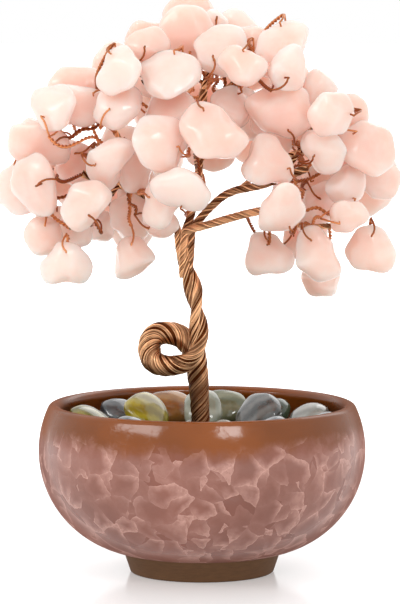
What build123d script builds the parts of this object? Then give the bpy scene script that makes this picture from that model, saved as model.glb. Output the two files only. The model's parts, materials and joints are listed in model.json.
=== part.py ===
"""Gemstone tree ornament: a twisted copper wire tree with rose quartz chips, set in a glazed bowl.

Millimetres, +Z up. The origin is the centre of the foot's resting face, and -Y is the front.
"""

import os
from math import acos, ceil, cos, dist, radians, sin, sqrt, tan

from build123d import *

os.makedirs("parts", exist_ok=True)

# Bowl: one arc from foot to lip, turned about Z
bowl_diameter = 80.0
bowl_height = 41.5
belly_height = 30.0
body_arc_radius = 25.3
bowl_wall = 3.2
foot_top_diameter = 38.6
foot_bottom_diameter = 35.0
foot_height = 5.3
foot_recess_diameter = 27.0
foot_recess_depth = 2.0
foot_edge_round = 0.7

# Plaster bed cast in the bowl
bed_thickness = 25.0
cast_gap = 0.2
socket_depth = 14.0

# Pebbles lying on the bed, on two rings, and fine gravel about the trunk
pebble_thickness = 5.4
pebble_width = 10.4
pebble_wall_gap = 1.2
pebble_ring_gap = 0.8
gravel_size = 5.6
gravel_gap = 0.7
gravel_width_share = 0.8
gravel_height_share = 0.6

# Trunk: one rope of wires with a closed curl
trunk_diameter = 4.7
trunk_height = 81.5
trunk_lean = 4.2
trunk_foot_offset = 0.1
curl_height = 54.7
curl_reach = 9.0
curl_eye_radius = 1.5
curl_pass_gap = 0.6

# Wirework
limb_diameter = 2.0
branch_diameter = 1.4
wire_diameter = 0.4
limb_root_gap = 0.5
branch_root_gap = 0.35
root_play_gap = 0.25
twig_bite = 0.3
twig_pitch = 1.5
twig_room = 0.8
twig_reach = 55.0
least_twig = 3.0
eye_joint_gap = 0.08

# Chips
chip_length = 13.0
chip_thickness = 6.4
chip_hole_diameter = 0.9
chip_edge_distance = 2.2
chip_gap = 0.6
eye_reach = 4.2
eye_stand_off = 1.4
eye_bend_radius = 0.5

# How far the lower sprays bend and the loose chips swing, in degrees
low_bend = 8
drop_swing = 20

# Crown: places are read off a drawing in pixels, in which a chip of the full length spans chip_pixels,
# and which is seen from a point in front of the tree
crown_half_depth = 28.0
sight_distance = 860.0
sight_height = 147.5
chip_pixels = 53.3
crotch_pixels = (184, 238)
crown_centre_pixels = (202, 150)
crown_half_width_pixels = 200
crown_half_height_pixels = 150
chip_step_share = 0.02
twig_length_share = 0.03
route_start_share = 0.25
arc_share = 0.45

# Shapes as shares of their own size
chip_width_shares = [0.86, 0.8, 0.9, 0.84]
drop_variant = 3
chip_corner_share = 0.22
chip_edge_share = 0.4
edge_limit_share = 0.94
chip_outline_shares = [
    [(1.0, 0.1), (0.45, 0.95), (-0.5, 0.88), (-1.0, 0.0), (-0.55, -0.92), (0.5, -0.88)],
    [(1.0, -0.2), (0.6, 0.8), (-0.35, 1.0), (-1.0, 0.35), (-0.7, -0.75), (0.2, -1.0)],
    [(0.95, 0.35), (0.1, 1.0), (-0.9, 0.6), (-0.95, -0.45), (0.0, -0.95), (0.85, -0.6)],
    [(1.0, 0.5), (0.0, 1.0), (-0.9, 0.65), (-0.9, -0.65), (0.0, -1.0), (1.0, -0.5)],
]
chip_front_share = 0.8
chip_shell_share = 0.5
chip_tilt_share = 0.35
chip_tilt_degrees = 137.5
hole_turns = [0, 40, -40, 80, -80]

# Limbs rise from the trunk's top. Rows: pixel x, pixel y, share of the crown's half depth
limb_root_shares = {
    "left_limb": (-1, 0),
    "leader": (0, 1),
    "right_upper_limb": (1, 0),
    "right_lower_limb": (0, -1),
}
limb_routes = {
    "left_limb": [(171, 216, 0.0), (148, 193, -0.08), (114, 181, -0.16), (82, 172, -0.2)],
    "leader": [(192, 210, 0.06), (198, 178, 0.02), (199, 130, 0.0), (203, 88, 0.0)],
    "right_upper_limb": [(206, 208, 0.04), (228, 189, 0.0), (264, 184, -0.05), (306, 166, -0.1)],
    "right_lower_limb": [(204, 224, -0.1), (236, 214, -0.14), (268, 207, -0.18), (298, 203, -0.2)],
}
# Branches leave a limb at a share of its length
branch_routes = {
    "left_upper_branch": ("left_limb", 0.4, [(132, 160, -0.1), (115, 130, -0.18), (96, 102, -0.16)]),
    "left_back_branch": ("left_limb", 0.34, [(142, 172, 0.25), (114, 152, 0.45), (78, 150, 0.5)]),
    "left_low_branch": ("left_limb", 0.72, [(104, 202, -0.28), (88, 218, -0.36), (68, 226, -0.36)]),
    "right_side_branch": (
        "right_upper_limb",
        0.76,
        [(300, 150, -0.16), (306, 132, -0.2), (322, 116, -0.2)],
    ),
    "right_back_branch": ("right_upper_limb", 0.5, [(262, 168, 0.25), (290, 150, 0.45), (326, 146, 0.5)]),
    "right_low_branch": (
        "right_lower_limb",
        0.78,
        [(288, 222, -0.12), (316, 226, -0.14), (346, 222, -0.16)],
    ),
    "top_left_branch": ("leader", 0.66, [(180, 112, -0.18), (160, 96, -0.3), (142, 78, -0.3)]),
    "top_right_branch": ("leader", 0.8, [(218, 92, -0.16), (236, 80, -0.24), (258, 66, -0.22)]),
    "front_branch": ("leader", 0.42, [(196, 160, -0.25), (194, 146, -0.42), (204, 126, -0.52)]),
    "back_branch": ("leader", 0.56, [(204, 124, 0.25), (200, 98, 0.42), (206, 70, 0.48)]),
}
# Branches that bend on their limb stand a little off it
bending_branches = {"left_low": "left_low_branch", "right_low": "right_low_branch"}
bend_signs = {"left_low": -1, "right_low": 1}
# Each spray bends as one
sprays = {
    "top": ["leader", "top_left_branch", "top_right_branch", "front_branch", "back_branch"],
    "left": ["left_limb", "left_upper_branch", "left_back_branch"],
    "right": ["right_upper_limb", "right_lower_limb", "right_side_branch", "right_back_branch"],
    "left_low": ["left_low_branch"],
    "right_low": ["right_low_branch"],
}

# Chips, the nearest first. Rows: spray, pixel x, pixel y, share of the full length, turn in degrees
front_chip_shares = [
    ("top", 212, 132, 1.15, 150),
    ("top", 182, 188, 0.95, 20),
    ("top", 160, 140, 1.1, 60),
    ("left", 119, 68, 0.92, 80),
    ("right", 331, 112, 0.88, 30),
    ("left_low", 85, 203, 1.0, 35),
    ("left", 34, 183, 1.1, 80),
    ("left", 130, 215, 0.98, 95),
    ("right_low", 316, 252, 1.05, 120),
    ("right", 281, 206, 0.9, 75),
    ("right", 268, 160, 1.05, 20),
    ("top", 242, 64, 0.85, 5),
    ("top", 287, 67, 0.8, 100),
    ("top", 168, 72, 1.1, 10),
    ("right", 280, 108, 1.15, 165),
    ("top", 232, 106, 0.9, 40),
    ("top", 167, 112, 1.05, 45),
    ("left", 108, 160, 0.9, 60),
    ("left", 118, 104, 0.9, 30),
    ("right", 322, 147, 0.85, 140),
    ("right", 316, 205, 1.0, 95),
    ("top", 219, 50, 1.05, 75),
    ("top", 187, 32, 1.08, 110),
    ("top", 148, 45, 0.8, 20),
    ("top", 279, 45, 1.02, 70),
    ("right", 317, 87, 0.65, 15),
    ("right", 365, 145, 1.12, 160),
    ("right_low", 347, 213, 0.8, 60),
    ("right", 347, 182, 0.8, 30),
    ("left", 163, 198, 0.85, 70),
    ("right", 275, 130, 1.0, 110),
    ("left", 82, 103, 0.95, 140),
    ("left", 75, 160, 0.95, 15),
    ("left", 38, 142, 1.0, 170),
    ("left_low", 75, 228, 0.85, 5),
    ("left_low", 98, 225, 0.75, 80),
    ("left", 133, 165, 0.8, 100),
    ("left", 52, 105, 0.95, 150),
    ("top", 250, 40, 0.7, 80),
    ("top", 213, 22, 0.6, 30),
    ("top", 190, 12, 0.9, 160),
    ("left", 75, 90, 1.0, 20),
    ("left", 20, 185, 1.1, 85),
    ("left", 158, 220, 0.7, 135),
    ("right", 377, 174, 0.92, 170),
    ("right", 350, 158, 1.0, 150),
    ("right", 350, 112, 0.75, 85),
]
# Chips of the far side, the innermost first
back_chip_shares = [
    ("top", 150, 38, 0.95, 20),
    ("top", 235, 34, 0.95, 70),
    ("top", 192, 24, 0.9, 140),
    ("top", 276, 52, 0.95, 100),
    ("top", 156, 74, 1.05, 50),
    ("top", 244, 74, 1.0, 160),
    ("left", 112, 68, 0.95, 120),
    ("left", 70, 98, 0.95, 30),
    ("top", 160, 114, 1.1, 15),
    ("top", 200, 104, 1.0, 60),
    ("top", 244, 114, 1.0, 130),
    ("right", 292, 88, 0.95, 45),
    ("right", 290, 122, 1.05, 90),
    ("right", 332, 116, 0.95, 150),
    ("left", 40, 142, 0.95, 70),
    ("left", 120, 148, 0.95, 70),
    ("top", 162, 152, 1.0, 110),
    ("top", 208, 144, 1.0, 65),
    ("right", 258, 148, 1.0, 5),
    ("right", 304, 156, 1.05, 55),
    ("right", 378, 164, 0.85, 35),
    ("left", 30, 186, 0.95, 95),
    ("left", 66, 182, 1.0, 50),
    ("left", 104, 190, 1.05, 150),
    ("left", 144, 190, 0.95, 10),
    ("right", 290, 196, 1.0, 75),
    ("right", 330, 190, 1.05, 25),
    ("right", 366, 192, 0.9, 140),
    ("left", 56, 224, 0.9, 60),
    ("left", 130, 228, 0.85, 40),
    ("right", 304, 234, 0.95, 85),
]
# Chips that hang loose from their eyes. Rows: name, spray, pixel x, pixel y, share of the full length,
# width as a share of the length, share of the crown's half depth
drop_chip_shares = [
    ("left_edge_drop", "left_low", 45, 236, 0.8, 0.98, -0.3),
    ("left_low_drop", "left_low", 66, 262, 0.78, 1.3, -0.62),
    ("left_inner_drop", "left", 131, 256, 0.84, 0.9, -0.36),
    ("right_inner_drop", "right", 267, 254, 0.88, 1.06, -0.2),
    ("right_low_drop", "right_low", 321, 276, 0.76, 1.0, 0.12),
    ("right_edge_drop", "right_low", 370, 248, 0.86, 1.08, -0.3),
]

# Pebbles, counted round each ring. Rows: name, shares of the slot's length and of the width, lean, pitch
pebble_ring_starts = {"outer": 24, "inner": 38}
pebble_shares = {
    "outer": [
        ("grey_right_pebble", 0.98, 1.0, 14, 30),
        ("dark_green_pebble", 0.7, 0.85, -16, 35),
        ("moss_back_pebble", 0.98, 1.0, 8, 42),
        ("amber_back_pebble", 0.98, 1.0, -8, 42),
        ("slate_back_pebble", 0.85, 0.9, 16, 35),
        ("green_left_pebble", 0.98, 1.0, 12, 28),
        ("brown_left_pebble", 0.85, 0.9, -18, 25),
        ("grey_front_pebble", 0.95, 1.0, 15, 30),
        ("cream_front_pebble", 0.85, 0.9, -14, 35),
        ("olive_front_pebble", 0.95, 1.0, 16, 30),
        ("brown_front_pebble", 0.85, 0.9, -18, 30),
        ("moss_right_pebble", 0.95, 1.0, 14, 25),
        ("slate_right_pebble", 0.85, 0.9, -12, 28),
    ],
    "inner": [
        ("dark_grey_pebble", 0.98, 1.1, 10, 48),
        ("pale_green_pebble", 0.7, 1.1, -8, 48),
        ("olive_pebble", 0.98, 1.1, -12, 48),
        ("blue_black_pebble", 0.6, 0.8, 12, 20),
        ("small_olive_pebble", 0.6, 0.75, -12, 22),
        ("cream_pebble", 0.6, 0.75, 14, 22),
        ("grey_blue_pebble", 0.65, 0.8, -14, 20),
    ],
}
gravel_count = 7

# Worked out from the values above
bowl_radius = bowl_diameter / 2
arc_centre_x = bowl_radius - body_arc_radius
inner_arc_radius = body_arc_radius - bowl_wall
lip_radius = bowl_wall / 2
lip_centre_radius = body_arc_radius - lip_radius
lip_rise = bowl_height - lip_radius - belly_height
lip_sine = lip_rise / lip_centre_radius
lip_cosine = sqrt(1 - lip_sine**2)
floor_height = belly_height - inner_arc_radius
bed_top = floor_height + bed_thickness
bed_arc_radius = inner_arc_radius - cast_gap
trunk_radius = trunk_diameter / 2
limb_radius = limb_diameter / 2
branch_radius = branch_diameter / 2
wire_radius = wire_diameter / 2
twig_radius = wire_diameter
pixel = chip_length / chip_pixels
crotch = (-trunk_lean, 0, trunk_height)


def arc_point(radius, height):
    """The point of a bowl arc of that radius at that height, in the plane of the turned outline."""
    return (arc_centre_x + sqrt(radius**2 - (height - belly_height) ** 2), height)


def along(start, end, share):
    return tuple(a + (b - a) * share for a, b in zip(start, end))


def minus(a, b):
    return tuple(p - q for p, q in zip(a, b))


def plus(a, b, scale=1):
    return tuple(p + q * scale for p, q in zip(a, b))


def dot(a, b):
    return sum(p * q for p, q in zip(a, b))


def unit(a):
    length = sqrt(dot(a, a))
    return tuple(p / length for p in a)


def across(a, normal):
    """The part of a that lies square to the normal, as a direction."""
    return unit(plus(a, normal, -dot(a, normal)))


def cross(a, b):
    return (a[1] * b[2] - a[2] * b[1], a[2] * b[0] - a[0] * b[2], a[0] * b[1] - a[1] * b[0])


def turned(point, pivot, degrees):
    """The point turned about an axis through the pivot, along Y."""
    x, y, z = minus(point, pivot)
    turn = radians(degrees)
    return plus(pivot, (x * cos(turn) + z * sin(turn), y, z * cos(turn) - x * sin(turn)))


def point_gap(point, segment):
    """The least distance from a point to a straight segment."""
    start, end = segment
    run = minus(end, start)
    share = dot(minus(point, start), run) / dot(run, run)
    return dist(point, plus(start, run, min(1, max(0, share))))


def segment_gap(first, second):
    """The least distance between two straight segments."""
    run = minus(first[1], first[0])
    other_run = minus(second[1], second[0])
    apart = minus(first[0], second[0])
    slant = dot(run, other_run)
    square = dot(run, run)
    other_square = dot(other_run, other_run)
    spread = square * other_square - slant**2
    share = 0
    if spread > 0:
        share = (slant * dot(other_run, apart) - other_square * dot(run, apart)) / spread
    near_point = plus(first[0], run, min(1, max(0, share)))
    other_share = dot(minus(near_point, second[0]), other_run) / other_square
    return point_gap(plus(second[0], other_run, min(1, max(0, other_share))), first)


def sight_point(pixel_x, pixel_y, depth):
    """The point at that depth on the sight line through a place on the drawing."""
    x = crotch[0] + (pixel_x - crotch_pixels[0]) * pixel
    z = crotch[2] + (crotch_pixels[1] - pixel_y) * pixel
    nearer = -depth / sight_distance
    return (x - x * nearer, depth, z + (sight_height - z) * nearer)


def corner_radii(points):
    """Arcs as large as the two runs at each corner allow."""
    radii = []
    for before, corner, after in zip(points, points[1:], points[2:]):
        turn = acos(dot(unit(minus(corner, before)), unit(minus(after, corner))))
        radii.append(arc_share * min(dist(before, corner), dist(corner, after)) / tan(turn / 2))
    return radii


def rope(points, radius):
    """One rope of wires, as a round rod along straight runs joined by tangent arcs."""
    with BuildPart() as body:
        with BuildLine() as path:
            FilletPolyline(*points, radius=corner_radii(points))
        with BuildSketch(Plane(origin=path.line @ 0, z_dir=path.line % 0)):
            Circle(radius)
        sweep(path=path.line)
    return body.part, Wire(path.line.edges())


def beads(line, pitch):
    """Points along a line, no further apart than the pitch."""
    count = ceil(line.length / pitch)
    return [tuple(line @ (step / count)) for step in range(count + 1)]


# Bowl
recess_radius = foot_recess_diameter / 2
foot_top_radius = foot_top_diameter / 2
foot_bottom_radius = foot_bottom_diameter / 2
lip_outer = (arc_centre_x + body_arc_radius * lip_cosine, belly_height + body_arc_radius * lip_sine)
lip_inner = (arc_centre_x + inner_arc_radius * lip_cosine, belly_height + inner_arc_radius * lip_sine)
lip_crest = (
    arc_centre_x + lip_centre_radius * lip_cosine - lip_radius * lip_sine,
    belly_height + lip_centre_radius * lip_sine + lip_radius * lip_cosine,
)
with BuildPart() as bowl:
    with BuildSketch(Plane.XZ):
        with BuildLine():
            Polyline(
                (0, floor_height),
                (0, foot_recess_depth),
                (recess_radius, foot_recess_depth),
                (recess_radius, 0),
                (foot_bottom_radius, 0),
                (foot_top_radius, foot_height),
                arc_point(body_arc_radius, foot_height),
            )
            ThreePointArc(
                arc_point(body_arc_radius, foot_height),
                (arc_centre_x + body_arc_radius, belly_height),
                lip_outer,
            )
            ThreePointArc(lip_outer, lip_crest, lip_inner)
            ThreePointArc(
                lip_inner,
                (arc_centre_x + inner_arc_radius, belly_height),
                (arc_centre_x, floor_height),
            )
            Line((arc_centre_x, floor_height), (0, floor_height))
        make_face()
    revolve(axis=Axis.Z)
    fillet(bowl.edges().group_by(Axis.Z)[0].sort_by(SortBy.RADIUS)[-1], foot_edge_round)

# Plaster bed, with the socket that its casting leaves about the trunk's foot
curl_pass_offset = (trunk_diameter + curl_pass_gap) / 2
trunk_foot = (-trunk_foot_offset, curl_pass_offset, bed_top - socket_depth)
with BuildPart() as plaster_bed:
    with BuildSketch(Plane.XZ):
        with BuildLine():
            Polyline(
                arc_point(bed_arc_radius, bed_top),
                (0, bed_top),
                (0, floor_height),
                (arc_centre_x, floor_height),
                (arc_centre_x, floor_height + cast_gap),
            )
            ThreePointArc(
                (arc_centre_x, floor_height + cast_gap),
                arc_point(bed_arc_radius, floor_height + bed_thickness / 2),
                arc_point(bed_arc_radius, bed_top),
            )
        make_face()
    revolve(axis=Axis.Z)
    with BuildSketch(Plane.XY.offset(bed_top)):
        with Locations(trunk_foot[:2]):
            Circle(trunk_radius + cast_gap)
    extrude(amount=-socket_depth, mode=Mode.SUBTRACT)

# Trunk: up from its socket, over and round the curl, and up again in front of itself
curl_radius = trunk_radius + curl_eye_radius
curl_x = -curl_reach
curl_top = curl_height + curl_radius
curl_bottom = curl_height - curl_radius
curl_left = curl_x - curl_radius
curl_right = curl_x + curl_radius
trunk_points = [
    trunk_foot,
    (-trunk_foot_offset, curl_pass_offset, curl_bottom + curl_pass_gap),
    (curl_right, curl_pass_offset, curl_top),
    (curl_left, curl_pass_offset / 2, curl_top),
    (curl_left, -curl_pass_offset / 2, curl_bottom),
    (curl_right + curl_eye_radius, -curl_pass_offset, curl_bottom),
    (-trunk_foot_offset, -curl_pass_offset, curl_height + curl_eye_radius),
    (-trunk_lean / 2, -curl_pass_offset / 2, (curl_top + trunk_height) / 2),
    (-trunk_lean, 0, trunk_height - trunk_diameter),
    crotch,
]
trunk_part, trunk_line = rope(trunk_points, trunk_radius)
trunk_beads = beads(trunk_line, trunk_radius / 2)
bead_step = trunk_line.length / (len(trunk_beads) - 1)
apart = ceil(trunk_diameter * 2 / bead_step)
curl_gaps = [dist(a, b) for i, a in enumerate(trunk_beads) for b in trunk_beads[i + apart :]]
print("least gap of the trunk's curl to itself", round(min(curl_gaps) - trunk_diameter, 2))

# Limbs and branches
root_ring = (limb_diameter + root_play_gap) / sqrt(2)
limb_parts = {}
limb_lines = {}
for name, route in limb_routes.items():
    root_x, root_y = limb_root_shares[name]
    lift = 0 if name == "leader" else limb_root_gap
    root = plus(crotch, (root_x * root_ring, root_y * root_ring, lift))
    stand = plus(root, (0, 0, limb_diameter))
    points = [root, stand] + [sight_point(x, y, depth * crown_half_depth) for x, y, depth in route]
    limb_parts[name], limb_lines[name] = rope(points, limb_radius)
for name, (limb, place, route) in branch_routes.items():
    points = [sight_point(x, y, depth * crown_half_depth) for x, y, depth in route]
    root = tuple(limb_lines[limb] @ place)
    if name in bending_branches.values():
        heading = unit(minus(points[0], root))
        limb_heading = tuple(limb_lines[limb] % place)
        overhang = branch_radius * abs(dot(heading, limb_heading))
        root = plus(root, across(heading, limb_heading), limb_radius + branch_root_gap + overhang)
    limb_parts[name], limb_lines[name] = rope([root] + points, branch_radius)
limb_beads = {name: beads(line, twig_pitch) for name, line in limb_lines.items()}
limb_radii = {name: limb_radius if name in limb_routes else branch_radius for name in limb_lines}


class Chip:
    """One drilled, tumbled chip: where it lies, how it is turned and how large it is."""

    def __init__(self, group, centre, length, facing, turn, variant, width_share=None):
        self.group = group
        self.centre = centre
        self.length = length
        self.normal = unit(facing)
        level = across((1, 0, 0), self.normal)
        upright = cross(self.normal, level)
        self.long_axis = plus(tuple(p * cos(radians(turn)) for p in level), upright, sin(radians(turn)))
        self.variant = variant % len(chip_outline_shares)
        self.width = length * (width_share or chip_width_shares[self.variant])
        self.wide_axis = cross(self.normal, self.long_axis)
        self.hangs = False
        self.corner = chip_corner_share * min(length, self.width)
        self.edge = min(chip_edge_share * chip_thickness, edge_limit_share * self.corner)

    def outline(self):
        shares = chip_outline_shares[self.variant]
        return [(x * self.length / 2, y * self.width / 2) for x, y in shares]

    def set_hole(self, towards, turn=0):
        """Drill near the edge that looks towards a point, or as far round from there as the turn says."""
        straight = across(minus(towards, self.centre), self.normal)
        aside = cross(self.normal, straight)
        self.towards = plus(tuple(p * cos(radians(turn)) for p in straight), aside, sin(radians(turn)))
        side = (dot(self.towards, self.long_axis), dot(self.towards, self.wide_axis))
        reach = max(x * side[0] + y * side[1] for x, y in self.outline()) - self.corner * (2 / sqrt(3) - 1)
        self.hole = plus(self.centre, self.towards, reach - chip_edge_distance)
        self.fork = plus(self.hole, self.towards, chip_edge_distance + eye_reach)

    def balls(self, bent):
        """Centres of balls as thick as the chip that fill it out, also swung and, if asked, bent."""
        centres = [self.centre]
        for x, y in self.outline():
            share = 1 - chip_thickness / 2 / sqrt(x**2 + y**2)
            centres.append(plus(plus(self.centre, self.long_axis, x * share), self.wide_axis, y * share))
        if self.hangs:
            swings = (-drop_swing, drop_swing)
            centres += [turned(point, self.hole, swing) for swing in swings for point in centres]
        return centres + self.bent(centres) if bent else centres

    def settle(self):
        """Keep the balls of the place that the chip has come to."""
        self.filled = {bent: self.balls(bent) for bent in (False, True)}

    def bent(self, points):
        """Where points of this chip's spray go when the spray bends on its limb."""
        if self.group not in bending_branches:
            return []
        pivot = tuple(limb_lines[bending_branches[self.group]] @ 0)
        return [turned(point, pivot, bend_signs[self.group] * low_bend) for point in points]

    def solid(self):
        with BuildPart() as body:
            with BuildSketch(Plane(self.centre, x_dir=self.long_axis, z_dir=self.normal)):
                Polygon(*self.outline(), align=None)
                fillet(vertices(), self.corner)
            extrude(amount=chip_thickness / 2, both=True)
            flat_faces = faces().filter_by(GeomType.PLANE).sort_by(SortBy.AREA)[-2:]
            fillet(flat_faces.edges(), self.edge)
            with BuildSketch(Plane(self.hole, z_dir=self.normal)):
                Circle(chip_hole_diameter / 2)
            extrude(amount=chip_thickness, both=True, mode=Mode.SUBTRACT)
        return body.part

    def eye_corners(self):
        rise = chip_thickness / 2 + eye_stand_off
        return [
            plus(self.fork, self.normal, wire_radius + eye_joint_gap),
            plus(self.hole, self.normal, rise),
            plus(self.hole, self.normal, -rise),
            plus(self.fork, self.normal, -wire_radius - eye_joint_gap),
        ]

    def wires(self, root):
        """The stem and the two legs of the eye, as segments with their radii."""
        first, second, third, fourth = self.eye_corners()
        legs = [((first, second), wire_radius), ((fourth, third), wire_radius)]
        return [((root, self.fork), twig_radius)] + legs

    def eye(self):
        """The open loop of wire that threads the hole and closes at the fork."""
        with BuildPart() as body:
            with BuildLine() as path:
                FilletPolyline(*self.eye_corners(), radius=eye_bend_radius)
            with BuildSketch(Plane(origin=path.line @ 0, z_dir=path.line % 0)):
                Circle(wire_radius)
            sweep(path=path.line)
        return body.part


def shell_share(pixel_x, pixel_y):
    """How far out the crown's rounded front or back stands at a place on the drawing."""
    u = (pixel_x - crown_centre_pixels[0]) / crown_half_width_pixels
    v = (pixel_y - crown_centre_pixels[1]) / crown_half_height_pixels
    return u, v, sqrt(max(0, 1 - u**2 - v**2))


def near(a, b, length):
    return all(abs(p - q) < length for p, q in zip(a, b)) and dist(a, b) < length


def has_room(chip, chips):
    """True where a chip stays clear of every chip set so far and every limb."""
    for other in chips:
        if near(chip.centre, other.centre, chip_length * 2):
            bent = other.group != chip.group
            for ball in chip.balls(bent):
                if any(near(ball, point, chip_thickness + chip_gap) for point in other.filled[bent]):
                    return False
    for ball in chip.balls(False):
        for name, line_beads in limb_beads.items():
            room = chip_thickness / 2 + limb_radii[name] + chip_gap
            if any(near(ball, bead, room) for bead in line_beads):
                return False
    return True


# Chips that hang loose come first, then the front and the back ones, each moved back until it is clear
chips = []
for name, spray, pixel_x, pixel_y, size, width, depth in drop_chip_shares:
    centre = sight_point(pixel_x, pixel_y, depth * crown_half_depth)
    drop = Chip(spray, centre, size * chip_length, (0, -1, 0), 90, drop_variant, width)
    drop.hangs = True
    drop.set_hole(plus(centre, (0, 0, 1)))
    drop.name = name
    drop.settle()
    chips.append(drop)
for side, rows in [("front", front_chip_shares), ("back", back_chip_shares)]:
    for spray, pixel_x, pixel_y, size, turn in rows:
        u, v, out = shell_share(pixel_x, pixel_y)
        depth = -out * crown_half_depth if side == "front" else out * crown_half_depth / 2
        tilt = radians(chip_tilt_degrees * len(chips))
        facing = (
            u * chip_shell_share + cos(tilt) * chip_tilt_share,
            -chip_front_share if side == "front" else chip_front_share,
            -v * chip_shell_share + sin(tilt) * chip_tilt_share,
        )
        place = sight_point(pixel_x, pixel_y, depth)
        chip = Chip(spray, place, size * chip_length, facing, turn, len(chips))
        while not has_room(chip, chips):
            depth += chip_step_share * chip_length
            chip.centre = sight_point(pixel_x, pixel_y, depth)
        chip.settle()
        chip.name = f"{spray}_chips" if "low" in spray else f"{spray}_{side}_chips"
        chips.append(chip)


def stem_room(chip, limb, wires, least_room):
    """The least room that a twig leaves to the other chips, the twigs set so far and the other limbs."""
    room = twig_room
    for other in chips:
        if other is not chip and near(chip.fork, other.centre, twig_reach):
            bent = other.group != chip.group
            for segment, radius in wires:
                both = [segment, chip.bent(segment)]
                for points in both if bent and chip.group in bending_branches else [segment]:
                    gaps = [point_gap(ball, points) for ball in other.filled[bent]]
                    room = min(room, min(gaps) - chip_thickness / 2 - radius)
        if room < least_room:
            return room
    for segment, radius in wires:
        for other_segment, other_radius in set_wires:
            room = min(room, segment_gap(segment, other_segment) - radius - other_radius)
        if room < least_room:
            return room
        for name, line_beads in limb_beads.items():
            if name != limb:
                gap = min(point_gap(bead, segment) for bead in line_beads)
                room = min(room, gap - limb_radii[name] - radius)
    return room


# Twigs: each chip takes the place on its spray, and the side of its hole, that leave a straight stem
# the most room
set_wires = []
taken = set()
for chip in chips:
    best_score = -chip_length
    for limb in sprays[chip.group]:
        stations = limb_beads[limb]
        for number in range(ceil(len(stations) * route_start_share), len(stations)):
            station = stations[number]
            for turn in [0] if chip.hangs else hole_turns:
                chip.set_hole(plus(chip.centre, (0, 0, 1)) if chip.hangs else station, turn)
                length = dist(station, chip.fork)
                least_room = best_score + length * twig_length_share
                if (limb, number) in taken or length < least_twig or least_room > twig_room:
                    continue
                heading = unit(minus(chip.fork, station))
                wires = chip.wires(plus(station, heading, limb_radii[limb] + twig_radius))
                room = stem_room(chip, limb, wires, least_room)
                score = room - length * twig_length_share
                if score > best_score:
                    best_score = score
                    best = (limb, number, turn, wires)
    limb, number, turn, wires = best
    taken.add((limb, number))
    station = limb_beads[limb][number]
    chip.set_hole(plus(chip.centre, (0, 0, 1)) if chip.hangs else station, turn)
    heading = unit(minus(chip.fork, station))
    chip.stem_start = plus(station, heading, limb_radii[limb] - twig_bite)
    chip.stem_end = plus(chip.fork, heading, wire_radius + eye_joint_gap)
    set_wires += wires


def stem_solid(chip):
    """The twisted pair of a twig, as a round rod from its limb to the fork of its eye."""
    with BuildPart() as body:
        with BuildSketch(Plane(chip.stem_start, z_dir=minus(chip.stem_end, chip.stem_start))):
            Circle(twig_radius)
        extrude(amount=dist(chip.stem_start, chip.stem_end))
    return body.part


def pebble_solid(centre_x, centre_y, x_dir, z_dir, size):
    """One tumbled pebble, resting on the bed with its lowest point."""
    with BuildPart() as body:
        Sphere(1)
        scale(by=tuple(length / 2 for length in size))
    turned = Plane((0, 0, 0), x_dir=x_dir, z_dir=z_dir)
    ups = (turned.x_dir.Z, turned.y_dir.Z, turned.z_dir.Z)
    half_height = sqrt(sum((length / 2 * up) ** 2 for length, up in zip(size, ups)))
    turned.origin = (centre_x, centre_y, bed_top + half_height)
    return body.part.moved(turned.location)


# Pebbles on the outer and inner rings, each leaning up towards the rim
wall_x = arc_point(inner_arc_radius, bed_top + pebble_thickness)[0]
outer_ring = wall_x - pebble_wall_gap - pebble_width / 2
ring_radii = {"outer": outer_ring, "inner": outer_ring - pebble_width - pebble_ring_gap}
pebbles = {}
for ring, rows in pebble_shares.items():
    slot = 360 / len(rows)
    slot_length = 2 * ring_radii[ring] * sin(radians(slot / 2)) - pebble_ring_gap
    for place, (name, length_share, width_share, lean, pitch) in enumerate(rows):
        angle = radians(pebble_ring_starts[ring] + slot * place)
        outwards = (cos(angle), sin(angle), 0)
        round_ring = (-sin(angle), cos(angle), 0)
        normal = plus((0, 0, cos(radians(pitch))), outwards, -sin(radians(pitch)))
        lifted = plus(round_ring, (0, 0, tan(radians(lean))))
        size = (slot_length * length_share, pebble_width * width_share, pebble_thickness)
        centre = plus((0, 0, 0), outwards, ring_radii[ring])
        pebbles[name] = pebble_solid(*centre[:2], across(lifted, normal), normal, size)

# Gravel about the trunk
gravel_ring = trunk_radius + curl_pass_offset + gravel_gap + gravel_size / 2
gravel_stones = []
for place in range(gravel_count):
    angle = radians(360 / gravel_count * place)
    size = (gravel_size, gravel_size * gravel_width_share, gravel_size * gravel_height_share)
    centre = (gravel_ring * cos(angle), gravel_ring * sin(angle))
    gravel_stones.append(pebble_solid(*centre, (-sin(angle), cos(angle), 0), (0, 0, 1), size))


def write(part, name):
    part.label = name
    export_step(part, f"parts/{name}.step")


write(bowl.part, "bowl")
write(plaster_bed.part, "plaster_bed")
write(trunk_part, "trunk")
for name, part in {**pebbles, **limb_parts}.items():
    write(part, name)
with BuildPart() as gravel:
    add(gravel_stones)
write(gravel.part, "gravel")
for spray in sprays:
    with BuildPart() as twigs:
        add([piece for chip in chips if chip.group == spray for piece in (stem_solid(chip), chip.eye())])
    write(twigs.part, f"{spray}_twigs")
for name in sorted({chip.name for chip in chips}):
    with BuildPart() as chip_group:
        add([chip.solid() for chip in chips if chip.name == name])
    write(chip_group.part, name)
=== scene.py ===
"""Gemstone tree ornament: wire ropes, rose quartz chips, tumbled pebbles and a crackle-glazed bowl."""

import functools
import json
import math
import random

import bmesh
import bpy
import numpy as np
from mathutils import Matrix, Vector, noise


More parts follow.
